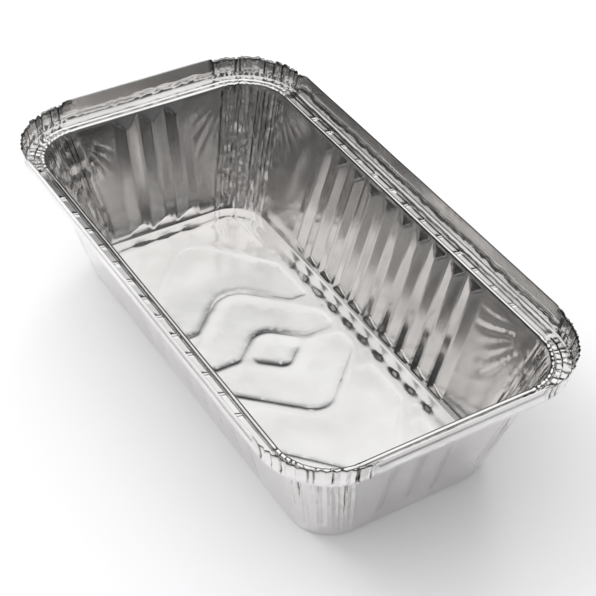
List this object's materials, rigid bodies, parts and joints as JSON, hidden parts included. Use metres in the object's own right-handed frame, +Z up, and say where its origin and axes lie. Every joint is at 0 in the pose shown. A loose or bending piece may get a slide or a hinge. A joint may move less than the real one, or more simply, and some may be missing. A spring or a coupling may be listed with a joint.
{
  "type": "aluminium foil tray",
  "caption": "Rectangular aluminium foil tray with ribbed sloping walls, crimped corners, a patterned floor and a standing hemmed rim for a crimp-on lid.",
  "frame": {"origin": "centre of the base, on the surface the tray stands on", "axes": "+X along the tray, +Y across it, +Z up"},
  "size_m": [0.2182, 0.1206, 0.0591],
  "materials": {
    "foil": "bright rolled foil"
  },
  "bodies": {
    "root": {"foil_tray": "foil"}
  },
  "joints": []
}
